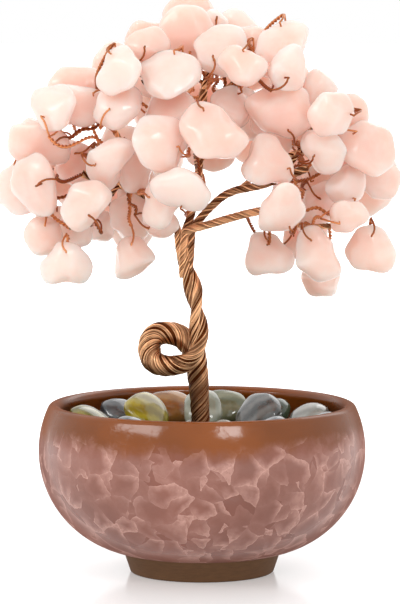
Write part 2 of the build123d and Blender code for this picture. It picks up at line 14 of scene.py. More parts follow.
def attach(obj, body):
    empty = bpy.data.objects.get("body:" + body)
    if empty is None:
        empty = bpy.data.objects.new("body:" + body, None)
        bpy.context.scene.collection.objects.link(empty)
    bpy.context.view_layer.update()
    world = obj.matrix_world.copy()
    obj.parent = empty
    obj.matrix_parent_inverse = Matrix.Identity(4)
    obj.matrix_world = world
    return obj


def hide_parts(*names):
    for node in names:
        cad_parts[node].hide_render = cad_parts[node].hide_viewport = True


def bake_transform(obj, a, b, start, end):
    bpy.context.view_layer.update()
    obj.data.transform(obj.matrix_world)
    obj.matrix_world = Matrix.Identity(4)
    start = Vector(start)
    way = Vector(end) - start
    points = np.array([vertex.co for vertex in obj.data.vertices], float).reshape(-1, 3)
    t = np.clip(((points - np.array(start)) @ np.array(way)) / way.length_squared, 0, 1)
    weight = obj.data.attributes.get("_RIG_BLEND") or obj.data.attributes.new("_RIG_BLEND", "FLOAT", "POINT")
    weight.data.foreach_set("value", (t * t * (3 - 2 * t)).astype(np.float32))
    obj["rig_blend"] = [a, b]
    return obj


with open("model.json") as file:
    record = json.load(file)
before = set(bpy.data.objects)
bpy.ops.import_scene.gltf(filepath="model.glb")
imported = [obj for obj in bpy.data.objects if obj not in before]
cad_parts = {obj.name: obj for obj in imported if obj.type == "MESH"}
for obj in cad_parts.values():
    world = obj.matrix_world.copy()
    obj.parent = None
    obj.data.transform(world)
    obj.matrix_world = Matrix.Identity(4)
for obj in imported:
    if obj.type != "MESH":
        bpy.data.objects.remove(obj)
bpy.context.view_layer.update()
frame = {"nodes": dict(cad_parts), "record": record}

bl_info = {
    "name": "Gemstone tree ornament",
    "version": (1, 0, 0),
    "blender": (4, 5, 0),
    "location": "3D View > Sidebar > Gemstone tree",
    "description": "Dresses the gemstone tree with its wires, chips, pebbles and glaze",
    "category": "Object",
}

MM = 0.001
CHIP_LOOKS = 72
TWIG_PITCH = 0.0018
EYE_SHARE = 0.68

# Control points of the ropes, in millimetres
TRUNK_ROUTE = [
    (-0.1, 2.65, 18.9),
    (-0.1, 2.65, 51.45),
    (-5.15, 2.65, 58.55),
    (-12.85, 1.32, 58.55),
    (-12.85, -1.32, 50.85),
    (-3.65, -2.65, 50.85),
    (-0.1, -2.65, 56.2),
    (-2.1, -1.32, 70.03),
    (-4.2, 0, 76.8),
    (-4.2, 0, 81.5),
]
# Each limb first winds about its neighbours inside the trunk's top
LIMB_ROUTES = {
    "left_limb": [(-4.2, 1.1, 72.5), (-5.3, 0.8, 77.5), (-5.8, 0, 82), (-5.8, 0, 84), (-7.4, 0, 86.9)]
    + [(-12.9, -2.2, 92.6), (-21.2, -4.5, 95.7), (-28.9, -5.6, 97.9)],
    "leader": [(-3.1, 0, 72.5), (-3.2, 1, 77.5), (-4.2, 1.6, 81.5), (-4.2, 1.6, 83.5), (-2.3, 1.7, 88.2)]
    + [(-0.8, 0.6, 96.1), (-0.5, 0, 107.8), (0.4, 0, 118.1)],
    "right_upper_limb": [(-3.2, -1.1, 72.5), (-2.9, -0.9, 77.5), (-2.6, 0, 82), (-2.6, 0, 84)]
    + [(1.2, 1.1, 88.7), (6.5, 0, 93.5), (15.3, -1.4, 94.8), (25.5, -2.8, 99.2)],
    "right_lower_limb": [(-4.6, -0.6, 72.5), (-4.9, -1.3, 77.5), (-4.2, -1.6, 82), (-4.2, -1.6, 84)]
    + [(0.7, -2.8, 85.1), (8.4, -3.9, 87.6), (16.2, -5, 89.4), (23.5, -5.6, 90.4)],
}
BRANCH_ROUTES = {
    "left_upper_branch": [(-12.2, -1.9, 91.6), (-16.8, -2.8, 100.7), (-20.9, -5, 108.1)]
    + [(-25.5, -4.5, 114.8)],
    "left_back_branch": [(-10.9, -1.4, 90.4), (-14.6, 7, 97.2), (-21.6, 12.6, 101.8), (-30.5, 14, 102.2)],
    "left_low_branch": [(-20.2, -4.2, 95.4), (-21.1, -5.1, 94.2), (-23.5, -7.8, 90.8)]
    + [(-27.3, -10.1, 87.1), (-32.1, -10.1, 85.2)],
    "right_side_branch": [(17.8, -1.7, 95.9), (24, -4.5, 103.2), (25.4, -5.6, 107.6), (29.3, -5.6, 111.5)],
    "right_back_branch": [(9, -0.4, 93.8), (14.9, 7, 98.2), (22, 12.6, 102.3), (30.9, 14, 103.2)],
    "right_low_branch": [(16.6, -4.9, 89.4), (17.2, -4.3, 87.9), (21.1, -3.4, 85.6)]
    + [(27.9, -3.9, 84.7), (35.1, -4.5, 85.7)],
    "top_left_branch": [(-0.6, 0.1, 105.5), (-5.1, -5, 112.4), (-10, -8.4, 116.4), (-14.3, -8.4, 120.8)],
    "top_right_branch": [(-0.3, 0, 110.7), (4.1, -4.5, 117.3), (8.4, -6.7, 120.3), (13.7, -6.2, 123.6)],
    "front_branch": [(-0.9, 0.6, 96.6), (-1.3, -7, 100.9), (-1.7, -11.8, 104.5), (0.7, -14.6, 109.5)],
    "back_branch": [(-0.7, 0.3, 101.8), (0.7, 7, 109), (-0.3, 11.8, 115.2), (1.2, 13.4, 122.1)],
}
# Ropes that bend where they leave what carries them: body before, body after, start and end of the bend
BENDS = {
    "left_limb": ("pot", "left_spray", (-5.8, 0, 81), (-8.6, 0, 88.1)),
    "right_upper_limb": ("pot", "right_spray", (-2.6, 0, 81), (1.4, 1.1, 88.9)),
    "right_lower_limb": ("pot", "right_spray", (-4.2, -1.6, 81), (1.4, -2.9, 86.1)),
    "left_low_branch": ("left_spray", "left_low_spray", (-20.6, -4.6, 94.9), (-23.5, -7.8, 90.8)),
    "right_low_branch": ("right_spray", "right_low_spray", (16.8, -4.6, 88.9), (21.1, -3.4, 85.6)),
}
TWIG_NODES = {
    "top_twigs": ["top_front_chips", "top_back_chips"],
    "left_twigs": ["left_front_chips", "left_back_chips", "left_inner_drop"],
    "right_twigs": ["right_front_chips", "right_back_chips", "right_inner_drop"],
    "left_low_twigs": ["left_low_chips", "left_edge_drop", "left_low_drop"],
    "right_low_twigs": ["right_low_chips", "right_low_drop", "right_edge_drop"],
}
# Main and banding colours of the tumbled pebbles
PEBBLE_COLOURS = {
    "grey_right_pebble": ((0.2, 0.2, 0.17), (0.42, 0.42, 0.38)),
    "dark_green_pebble": ((0.04, 0.06, 0.035), (0.1, 0.13, 0.08)),
    "moss_back_pebble": ((0.12, 0.13, 0.06), (0.3, 0.3, 0.18)),
    "amber_back_pebble": ((0.26, 0.085, 0.008), (0.46, 0.22, 0.05)),
    "slate_back_pebble": ((0.05, 0.055, 0.06), (0.15, 0.16, 0.17)),
    "green_left_pebble": ((0.12, 0.1, 0.008), (0.34, 0.3, 0.07)),
    "brown_left_pebble": ((0.1, 0.05, 0.025), (0.3, 0.19, 0.1)),
    "grey_front_pebble": ((0.15, 0.15, 0.13), (0.36, 0.36, 0.32)),
    "cream_front_pebble": ((0.42, 0.36, 0.24), (0.65, 0.6, 0.46)),
    "olive_front_pebble": ((0.14, 0.11, 0.01), (0.36, 0.3, 0.08)),
    "brown_front_pebble": ((0.12, 0.06, 0.03), (0.32, 0.2, 0.11)),
    "moss_right_pebble": ((0.1, 0.11, 0.06), (0.26, 0.27, 0.18)),
    "slate_right_pebble": ((0.045, 0.05, 0.055), (0.16, 0.17, 0.18)),
    "dark_grey_pebble": ((0.05, 0.052, 0.05), (0.2, 0.2, 0.19)),
    "pale_green_pebble": ((0.28, 0.3, 0.22), (0.5, 0.52, 0.42)),
    "olive_pebble": ((0.26, 0.19, 0.004), (0.5, 0.4, 0.03)),
    "blue_black_pebble": ((0.02, 0.025, 0.035), (0.08, 0.09, 0.11)),
    "small_olive_pebble": ((0.18, 0.15, 0.04), (0.4, 0.35, 0.16)),
    "cream_pebble": ((0.4, 0.34, 0.22), (0.62, 0.56, 0.42)),
    "grey_blue_pebble": ((0.14, 0.15, 0.17), (0.34, 0.36, 0.38)),
}


class GemstoneTreeSettings(bpy.types.PropertyGroup):
    """Sizes and colours of the dressed tree."""

    wire: bpy.props.FloatProperty(
        name="Wire", description="Diameter of one wire", default=0.00042, min=0.0002, unit="LENGTH"
    )
    trunk_strands: bpy.props.IntProperty(
        name="Trunk strands", description="Wires that show round the trunk", default=36, min=6
    )
    trunk_pitch: bpy.props.FloatProperty(
        name="Trunk twist", description="Rise of one turn of the trunk's wires", default=0.013, unit="LENGTH"
    )
    chip_fullness: bpy.props.FloatProperty(
        name="Chip fullness",
        description="Size of a chip against its plain solid",
        default=1.22,
        min=0.8,
        max=1.3,
    )
    quartz_pale: bpy.props.FloatVectorProperty(
        name="Pale quartz", description="Milky parts of the chips", default=(0.96, 0.67, 0.6), subtype="COLOR"
    )
    quartz_deep: bpy.props.FloatVectorProperty(
        name="Deep quartz", description="Pink parts of the chips", default=(0.96, 0.54, 0.46), subtype="COLOR"
    )
    copper: bpy.props.FloatVectorProperty(
        name="Copper", description="Bright side of the wires", default=(1.0, 0.59, 0.32), subtype="COLOR"
    )
    # Dark copper is also the painted shade on the centre paths between the wires, and the colour the trunk darkens to
    # below a height.
    copper_dark: bpy.props.FloatVectorProperty(
        name="Dark copper", description="Tarnish of the wires", default=(0.1, 0.024, 0.005), subtype="COLOR"
    )
    twig_copper: bpy.props.FloatVectorProperty(
        name="Twig copper", description="Bright side of the twigs", default=(0.62, 0.24, 0.1), subtype="COLOR"
    )
    twig_dark: bpy.props.FloatVectorProperty(
        name="Dark twig copper", description="Tarnish of the twigs", default=(0.3, 0.085, 0.03), subtype="COLOR"
    )
    glaze: bpy.props.FloatVectorProperty(
        name="Glaze", description="Ground of the crackle glaze", default=(0.26, 0.09, 0.06), subtype="COLOR"
    )
    flakes: bpy.props.FloatVectorProperty(
        name="Flakes", description="Pale edges of the crackle", default=(0.62, 0.35, 0.29), subtype="COLOR"
    )
    rim: bpy.props.FloatVectorProperty(
        name="Rim", description="Brown glaze of the lip", default=(0.17, 0.043, 0.005), subtype="COLOR"
    )
    foot: bpy.props.FloatVectorProperty(
        name="Foot", description="Bare clay of the foot", default=(0.165, 0.08, 0.033), subtype="COLOR"
    )


def settings():
    return bpy.context.scene.gemstone_tree


def rgba(colour):
    return (*colour, 1)


def shade(colour, share):
    """A colour made darker or lighter."""
    return [value * share for value in colour]


class Finish:
    """A procedural material and the nodes that make it."""

    def __init__(self, name):
        self.material = bpy.data.materials.new(name)
        self.material.use_nodes = True
        self.tree = self.material.node_tree
        self.shader = self.tree.nodes["Principled BSDF"]

    def node(self, kind, inputs=(), **options):
        node = self.tree.nodes.new(kind)
        for key, value in options.items():
            setattr(node, key, value)
        for key, value in dict(inputs).items():
            if isinstance(value, bpy.types.NodeSocket):
                self.tree.links.new(value, node.inputs[key])
            else:
                node.inputs[key].default_value = value
        return node

    def place(self):
        return self.node("ShaderNodeTexCoord").outputs["Object"]

    def noise(self, place, scale, detail=3, roughness=0.5):
        inputs = {"Vector": place, "Scale": scale, "Detail": detail, "Roughness": roughness}
        return self.node("ShaderNodeTexNoise", inputs).outputs["Fac"]

    def math(self, operation, first, second=0.0, third=0.0, clamp=False):
        inputs = {0: first, 1: second, 2: third}
        return self.node("ShaderNodeMath", inputs, operation=operation, use_clamp=clamp).outputs[0]

    def vector(self, operation, first, second=(0, 0, 0), output="Vector"):
        return self.node("ShaderNodeVectorMath", {0: first, 1: second}, operation=operation).outputs[output]

    def ramp(self, value, low, high, to_low=0.0, to_high=1.0):
        inputs = {"Value": value, "From Min": low, "From Max": high, "To Min": to_low, "To Max": to_high}
        return self.node("ShaderNodeMapRange", inputs, interpolation_type="SMOOTHSTEP").outputs["Result"]

    def mix(self, share, first, second):
        inputs = {"Factor": share, "A": first, "B": second}
        node = self.node("ShaderNodeMix", data_type="RGBA")
        for key, value in inputs.items():
            socket = next(s for s in node.inputs if s.name == key and s.enabled)
            if isinstance(value, bpy.types.NodeSocket):
                self.tree.links.new(value, socket)
            else:
                socket.default_value = value
        return next(s for s in node.outputs if s.enabled)

    def bump(self, height, strength, distance):
        inputs = {"Height": height, "Strength": strength, "Distance": distance}
        self.into("Normal", self.node("ShaderNodeBump", inputs).outputs["Normal"])

    def into(self, socket, value):
        if isinstance(value, bpy.types.NodeSocket):
            self.tree.links.new(value, self.shader.inputs[socket])
        else:
            self.shader.inputs[socket].default_value = value


def copper_finish(name, bright, dark, dark_below=0.0):
    """Drawn copper wire: each wire a little different, tarnished in patches, darker below a height, and fully dark on
    the centre paths as painted shade between the wires.
    """
    finish = Finish(name)
    place = finish.place()
    tone = finish.node("ShaderNodeAttribute", attribute_name="tone").outputs["Fac"]
    patches = finish.noise(place, 260, 4, 0.6)
    # A tone of -1 on the centre paths gives fully dark copper there: painted shade between the wires.
    share = finish.math("MULTIPLY_ADD", tone, 0.85, finish.math("MULTIPLY", patches, 0.3))
    share = finish.ramp(share, 0.2, 0.95)
    # Darker towards the bottom of the trunk, below the given height.
    if dark_below:
        height = finish.node("ShaderNodeSeparateXYZ", {0: place}).outputs["Z"]
        share = finish.math("MULTIPLY", share, finish.ramp(height, dark_below - 0.012, dark_below, 0.3, 1.0))
    finish.into("Base Color", finish.mix(share, rgba(dark), rgba(bright)))
    finish.into("Metallic", 1.0)
    finish.into("Roughness", finish.ramp(patches, 0.3, 0.7, 0.42, 0.27))
    finish.bump(finish.noise(place, 3000, 2), 0.15, 0.00003)
    return finish.material


def quartz_finish():
    """Tumbled rose quartz: milky, let through by light, with pink clouds and a wet polish."""
    chosen = settings()
    finish = Finish("rose_quartz")
    place = finish.place()
    tone = finish.node("ShaderNodeAttribute", attribute_name="tone").outputs["Fac"]
    clouds = finish.noise(place, 150, 4, 0.55)
    grain = finish.noise(place, 480, 5, 0.65)
    share = finish.math("MULTIPLY_ADD", tone, 0.5, finish.math("MULTIPLY", clouds, 1.3))
    share = finish.ramp(share, 0.5, 1.3)
    colour = finish.mix(share, rgba(chosen.quartz_pale), rgba(chosen.quartz_deep))
    finish.into("Base Color", colour)
    finish.into("Subsurface Weight", 1.0)
    finish.into("Subsurface Radius", (0.014, 0.009, 0.008))
    finish.into("Subsurface Scale", 1.0)
    finish.into("IOR", 1.45)
    finish.into("Specular IOR Level", 0.5)
    finish.into("Roughness", finish.ramp(grain, 0.35, 0.7, 0.12, 0.26))
    finish.bump(finish.noise(place, 420, 3), 0.15, 0.0003)
    return finish.material


def flake_layer(finish, place, scale, shift):
    """One layer of the crackle: which places its flakes cover, and how pale they are there."""
    laid = finish.vector("ADD", place, shift)
    inputs = {"Vector": laid, "Scale": scale}
    cells = finish.node("ShaderNodeTexVoronoi", inputs).outputs
    edge = finish.node("ShaderNodeTexVoronoi", inputs, feature="DISTANCE_TO_EDGE").outputs["Distance"]
    lean = finish.vector("SUBTRACT", cells["Color"], (0.5, 0.5, 0.5))
    arm = finish.vector("SUBTRACT", laid, cells["Position"])
    side = finish.math("MULTIPLY", finish.vector("DOT_PRODUCT", lean, arm, "Value"), scale)
    bright = finish.ramp(side, -0.15, 0.22, 0.15, 1.0)
    band = finish.ramp(edge, 0.0, 0.34, 0.6, 0.0)
    line = finish.ramp(edge, 0.0, 0.03, 0.25, 0.0)
    pale = finish.math("MULTIPLY_ADD", bright, finish.math("ADD", band, line), 0.06)
    chance = finish.node("ShaderNodeSeparateColor", {0: cells["Color"]}).outputs["Red"]
    return finish.math("GREATER_THAN", chance, 0.52), pale


def glaze_finish():
    """Ice-crackle glaze: a brown lip with a ragged lower edge, mauve flakes below it, a bare clay foot."""
    chosen = settings()
    finish = Finish("crackle_glaze")
    place = finish.place()
    height = finish.node("ShaderNodeSeparateXYZ", {0: place}).outputs["Z"]
    radius = finish.vector("LENGTH", finish.vector("MULTIPLY", place, (1, 1, 0)), output="Value")
    ragged = finish.noise(place, 160, 5, 0.65)
    drift = finish.noise(place, 38, 3, 0.5)
    mottle = finish.noise(place, 700, 4, 0.7)

    torn = place
    for scale, reach in ((110, 0.004), (420, 0.0012)):
        waves = finish.node("ShaderNodeTexNoise", {"Vector": place, "Scale": scale}).outputs["Color"]
        waves = finish.vector("SUBTRACT", waves, (0.5, 0.5, 0.5))
        torn = finish.vector("ADD", torn, finish.vector("MULTIPLY", waves, (reach, reach, reach)))
    flakes = finish.math("MULTIPLY", *flake_layer(finish, torn, 210, (0, 0, 0.07)))
    for scale, shift in ((130, (0.31, 0.17, 0.07)), (150, (0.62, 0.34, 0.07)), (180, (0.45, 0.71, 0.2))):
        shown, pale = flake_layer(finish, torn, scale, shift)
        flakes = finish.math("MULTIPLY_ADD", shown, finish.math("SUBTRACT", pale, flakes), flakes)
    flakes = finish.math("MULTIPLY", flakes, finish.ramp(mottle, 0.25, 0.7, 0.6, 1.1), clamp=True)
    ground = finish.mix(finish.ramp(drift, 0.3, 0.7), rgba(chosen.glaze), rgba(shade(chosen.glaze, 0.78)))
    body = finish.mix(flakes, ground, rgba(chosen.flakes))

    lip_edge = finish.math("MULTIPLY_ADD", ragged, 0.007, height)
    lip_edge = finish.math("MULTIPLY_ADD", drift, 0.006, lip_edge)
    lip_share = finish.ramp(lip_edge, 0.0385, 0.0435)
    runs = finish.ramp(drift, 0.35, 0.65)
    lip_tint = finish.mix(runs, rgba(chosen.rim), rgba(shade(chosen.rim, 1.45)))
    colour = finish.mix(lip_share, body, lip_tint)
    # The lip's brown glaze at half brightness on the inner wall above the bed: painted shade inside the bowl.
    shaded_inside = finish.math("MULTIPLY", finish.ramp(radius, 0.0335, 0.0352, 1.0, 0.0), finish.ramp(height, 0.032, 0.034))
    colour = finish.mix(shaded_inside, colour, rgba(shade(chosen.rim, 0.5)))
    foot = finish.ramp(height, 0.0049, 0.0057, 1.0, 0.0)
    brushed = finish.noise(finish.vector("MULTIPLY", place, (1, 1, 6)), 420, 5, 0.7)
    clay = finish.mix(brushed, rgba(shade(chosen.foot, 0.6)), rgba(shade(chosen.foot, 1.35)))
    finish.into("Base Color", finish.mix(foot, colour, clay))

    gloss = finish.ramp(flakes, 0.0, 1.0, 0.2, 0.34)
    gloss = finish.math("MULTIPLY_ADD", lip_share, -0.1, gloss)
    glancing = finish.node("ShaderNodeLayerWeight", {"Blend": 0.5}).outputs["Facing"]
    gloss = finish.math("MAXIMUM", gloss, finish.ramp(glancing, 0.45, 0.9, 0.0, 0.8))
    finish.into("Roughness", finish.math("MAXIMUM", gloss, finish.math("MULTIPLY", foot, 0.75)))
    finish.into("Specular IOR Level", 0.42)
    finish.bump(finish.math("MULTIPLY_ADD", mottle, 0.15, finish.math("MULTIPLY", flakes, 0.5)), 0.25, 0.0003)
    return finish.material


def bed_finish():
    """Plaster coloured very dark, with fine grains, where it shows in the gaps between the pebbles."""
    finish = Finish("dark_plaster")
    place = finish.place()
    grains = finish.noise(place, 1400, 4, 0.7)
    finish.into("Base Color", finish.mix(grains, (0.035, 0.028, 0.02, 1), (0.16, 0.13, 0.1, 1)))
    finish.into("Roughness", 0.85)
    finish.bump(grains, 0.6, 0.0005)
    return finish.material


def pebble_finish(name, main, banding):
    """A tumbled agate: bands and clouds of two colours, half clear, under a polish."""
    finish = Finish(name)
    place = finish.place()
    turn = random.Random(name).uniform(0, 3)
    tilt = (turn, turn * 2, turn * 3)
    laid = finish.node("ShaderNodeMapping", {"Vector": place, "Rotation": tilt}).outputs[0]
    inputs = {"Vector": laid, "Scale": 70, "Distortion": 5.0, "Detail": 3, "Detail Scale": 1.6}
    bands = finish.node("ShaderNodeTexWave", inputs).outputs["Fac"]
    clouds = finish.noise(laid, 210, 4, 0.6)
    share = finish.math("MULTIPLY_ADD", bands, 0.35, finish.math("MULTIPLY", clouds, 0.7))
    finish.into("Base Color", finish.mix(finish.ramp(share, 0.3, 0.85), rgba(main), rgba(banding)))
    finish.into("Roughness", 0.1)
    finish.into("Transmission Weight", 0.2)
    finish.into("IOR", 1.52)
    finish.into("Coat Weight", 0.5)
    finish.into("Coat Roughness", 0.05)
    finish.bump(clouds, 0.08, 0.0003)
    return finish.material


@functools.cache
def solids_of(name):
    """The separate solids of a CAD node: their corners, and the normal and area of each face."""
    mesh = nodes_mesh(name)
    bm = bmesh.new()
    bm.from_mesh(mesh)
    bmesh.ops.remove_doubles(bm, verts=bm.verts, dist=1e-6)
    bm.verts.index_update()
    bm.faces.index_update()
    found = []
    sorted_out = set()
    for seed in bm.verts:
        if seed in sorted_out:
            continue
        group = {seed}
        edge_front = [seed]
        while edge_front:
            vertex = edge_front.pop()
            for edge in vertex.link_edges:
                other = edge.other_vert(vertex)
                if other not in group:
                    group.add(other)
                    edge_front.append(other)
        sorted_out |= group
        faces = {face for vertex in group for face in vertex.link_faces}
        corners = np.array([vertex.co[:] for vertex in sorted(group, key=lambda v: v.index)])
        flats = np.array([(*face.normal, face.calc_area()) for face in sorted(faces, key=lambda f: f.index)])
        found.append((corners, flats))
    bm.free()
    return found


def nodes_mesh(name):
    return frame["nodes"][name].data


def finished(name, mesh, material):
    """A new piece from a mesh that is already in place."""
    piece = bpy.data.objects.new(name, mesh)
    bpy.context.scene.collection.objects.link(piece)
    mesh.materials.clear()
    mesh.materials.append(material)
    return piece


def dress(name, material):
    """Give a CAD node a finish of its own."""
    mesh = nodes_mesh(name)
    mesh.materials.clear()
    mesh.materials.append(material)


def rope_line(points, step):
    """Evenly spaced points, in metres, on the smooth line through a route's control points."""
    curve = bpy.data.curves.new("route", "CURVE")
    curve.dimensions = "3D"
    spline = curve.splines.new("NURBS")
    spline.points.add(len(points) - 1)
    for point, place in zip(spline.points, points):
        point.co = (*(value * MM for value in place), 1)
    spline.order_u = 3
    spline.use_endpoint_u = True
    spline.resolution_u = 32
    holder = bpy.data.objects.new("route", curve)
    mesh = bpy.data.meshes.new_from_object(holder)
    line = np.array([vertex.co[:] for vertex in mesh.vertices])
    bpy.data.objects.remove(holder)
    bpy.data.curves.remove(curve)
    bpy.data.meshes.remove(mesh)
    lengths = np.concatenate([[0], np.cumsum(np.linalg.norm(np.diff(line, axis=0), axis=1))])
    places = np.linspace(0, lengths[-1], max(3, math.ceil(lengths[-1] / step)))
    return np.column_stack([np.interp(places, lengths, line[:, axis]) for axis in range(3)])


def rope_frames(line):
    """Two directions square to a line at each of its points, with no twist of their own."""
    heads = np.gradient(line, axis=0)
    heads /= np.linalg.norm(heads, axis=1)[:, None]
    side = np.cross(heads[0], (0.3, 1.0, 0.2))
    sides = []
    for head in heads:
        side = side - head * (side @ head)
        side /= np.linalg.norm(side)
        sides.append(side.copy())
    sides = np.array(sides)
    return sides, np.cross(heads, sides)


def strand(line, frames, rings, pitch, phase):
    """One wire wound about a line, at the ring radius given for each point."""
    lengths = np.concatenate([[0], np.cumsum(np.linalg.norm(np.diff(line, axis=0), axis=1))])
    turn = phase + 2 * math.pi * lengths / pitch
    return line + rings[:, None] * (np.cos(turn)[:, None] * frames[0] + np.sin(turn)[:, None] * frames[1])


def wire_mesh(name, paths, thickness, shade_cores=0):
    """Round wires along paths, as one mesh with a tone for each wire. The centre paths, last, are painted dark as shade
    in the gaps between the wires.
    """
    curve = bpy.data.curves.new(name, "CURVE")
    curve.dimensions = "3D"
    curve.bevel_depth = 1.0
    curve.bevel_resolution = 1
    for path, radius in zip(paths, thickness):
        spline = curve.splines.new("POLY")
        spline.points.add(len(path) - 1)
        spline.points.foreach_set("co", np.column_stack([path, np.ones(len(path))]).ravel())
        spline.points.foreach_set("radius", np.broadcast_to(radius, len(path)).astype(float))
    holder = bpy.data.objects.new(name, curve)
    mesh = bpy.data.meshes.new_from_object(holder)
    mesh.name = name
    bpy.data.objects.remove(holder)
    bpy.data.curves.remove(curve)
    chance = random.Random(name)
    # Random tone for each wire; the centre paths get -1, dark copper throughout: painted shade in the gaps between the
    # wires.
    tones = [chance.random() for _ in paths[shade_cores:]] + [-1.0] * shade_cores
    sides = len(mesh.vertices) // sum(len(path) for path in paths)
    tones = np.concatenate([np.full(len(path) * sides, tone) for path, tone in zip(paths, tones)])
    mesh.attributes.new("tone", "FLOAT", "POINT").data.foreach_set("value", tones.astype(np.float32))
    bm = bmesh.new()
    bm.from_mesh(mesh)
    bmesh.ops.holes_fill(bm, edges=[edge for edge in bm.edges if edge.is_boundary], sides=0)
    bm.to_mesh(mesh)
    bm.free()
    return mesh


def rope_mesh(name, route, count, ring, pitch, wire):
    """A rope of wires about a core, each wire wandering a little from its lay."""
    line = rope_line(route, 0.00045)
    frames = rope_frames(line)
    chance = random.Random(name)
    share = np.linspace(0, 1, len(line))
    paths = []
    thickness = []
    for number in range(count):
        wander = 1 + 0.05 * np.sin(2 * math.pi * (share * chance.uniform(3, 7) + chance.random()))
        phase = 2 * math.pi * (number + chance.uniform(-0.18, 0.18)) / count
        paths.append(strand(line, frames, ring * wander, pitch, phase))
        thickness.append(wire / 2 * chance.uniform(0.95, 1.1))
    # The centre path, dark copper: painted shade in the gaps between the wires.
    paths.append(line)
    thickness.append(ring * 0.86)
    return wire_mesh(name, paths, thickness, 1)


def trunk_mesh(count, pitch, wire):
    """The trunk: one thick rope up to the curl, which parts above it into two ropes wound together."""
    line = rope_line(TRUNK_ROUTE, 0.0004)
    frames = rope_frames(line)
    chance = random.Random("trunk")
    share = np.linspace(0, 1, len(line))
    narrow = np.interp(share, [0.0, 0.86, 1.0], [1.0, 1.0, 0.55])
    parted = np.interp(share, [0.62, 0.75], [0.0, 1.0])
    thick = np.interp(share, [0.24, 0.36, 0.56, 0.68], [0.0021, 0.0026, 0.0026, 0.0021])
    rings = narrow * (thick + (0.00115 - thick) * parted)
    plies = [strand(line, frames, narrow * parted * 0.00105, 0.022, math.pi * ply) - line for ply in (0, 1)]
    paths = []
    thickness = []
    for number in range(count):
        wander = 1 + 0.045 * np.sin(2 * math.pi * (share * chance.uniform(4, 9) + chance.random()))
        phase = 2 * math.pi * (number + chance.uniform(-0.2, 0.2)) / count
        paths.append(strand(line, frames, rings * wander, pitch, phase) + plies[number % 2])
        thickness.append(wire / 2 * chance.uniform(0.95, 1.1))
    # The plies' centre paths, dark copper: painted shade in the gaps between the wires.
    for ply in plies:
        paths.append(line + ply)
        thickness.append(rings * 0.86)
    return wire_mesh("trunk", paths, thickness, len(plies))


def chip_facts(corners, flats):
    """Centre, thickness direction, half thickness and in-plane directions of a chip."""
    directions = flats[:, :3]
    shared = (np.abs(directions @ directions.T) > 0.9998) @ flats[:, 3]
    normal = directions[shared.argmax()]
    level = np.cross((0.0, 0.0, 1.0), normal)
    if np.linalg.norm(level) < 0.2:
        level = np.cross((1.0, 0.0, 0.0), normal)
    level /= np.linalg.norm(level)
    upright = np.cross(normal, level)
    heights = corners @ normal
    spans = [(corners @ axis).min() + (corners @ axis).max() for axis in (level, upright)]
    centre = normal * (heights.min() + heights.max()) / 2 + level * spans[0] / 2 + upright * spans[1] / 2
    return centre, normal, (heights.max() - heights.min()) / 2, level, upright


def outline_reach(flat, looks):
    """How far the outline of flat points stands from their middle in each direction."""
    reach = (flat @ looks.T).max(axis=0)
    slants = looks @ looks.T
    return np.where(slants > 0.2, reach / np.maximum(slants, 0.2), np.inf).min(axis=1)


def chip_mesh(bm, corners, flats, fullness, seed):
    """Add a tumbled chip that fills the place of its plain solid: broken faces, worn round."""
    chance = random.Random(seed)
    centre, normal, half, level, upright = chip_facts(corners, flats)
    flat = np.column_stack([(corners - centre) @ level, (corners - centre) @ upright])
    around = np.linspace(0, 2 * math.pi, CHIP_LOOKS, endpoint=False)
    edge = outline_reach(flat, np.column_stack([np.cos(around), np.sin(around)])) * fullness
    for lobes, most in ((2, 0.1), (3, 0.12)):
        edge *= 1 + chance.uniform(0, most) * np.cos(lobes * (around - chance.uniform(0, 2 * math.pi)))
    made = bmesh.ops.create_icosphere(bm, subdivisions=4, radius=1.0)["verts"]
    shift = Vector([chance.uniform(-50, 50) for _ in range(3)])
    cuts = []
    for _ in range(chance.randint(7, 12)):
        look = Vector([chance.gauss(0, 1), chance.gauss(0, 1), chance.gauss(0, 1)]).normalized()
        cuts.append((look, chance.uniform(0.68, 0.92)))
    swell = chance.uniform(0.92, 1.08)
    for vertex in made:
        lump = 1 + 0.09 * noise.noise(vertex.co * 1.4 + shift) + 0.03 * noise.noise(vertex.co * 3.6 + shift)
        for look, depth in cuts:
            over = vertex.co.dot(look) - depth
            if over > 0:
                vertex.co -= look * over * 0.93
        x, y, z = vertex.co
        turn = math.atan2(y, x) % (2 * math.pi)
        width = np.interp(turn, around, edge, period=2 * math.pi)
        bulge = math.hypot(x, y) ** 0.88 * width * lump
        rise = z * half * swell * lump
        spot = level * math.cos(turn) * bulge + upright * math.sin(turn) * bulge + normal * rise
        vertex.co = Vector(centre + spot)
    for _ in range(2):
        bmesh.ops.smooth_vert(bm, verts=made, factor=0.5, use_axis_x=True, use_axis_y=True, use_axis_z=True)
    tone = chance.random()
    layer = bm.verts.layers.float["tone"]
    for vertex in made:
        vertex[layer] = tone


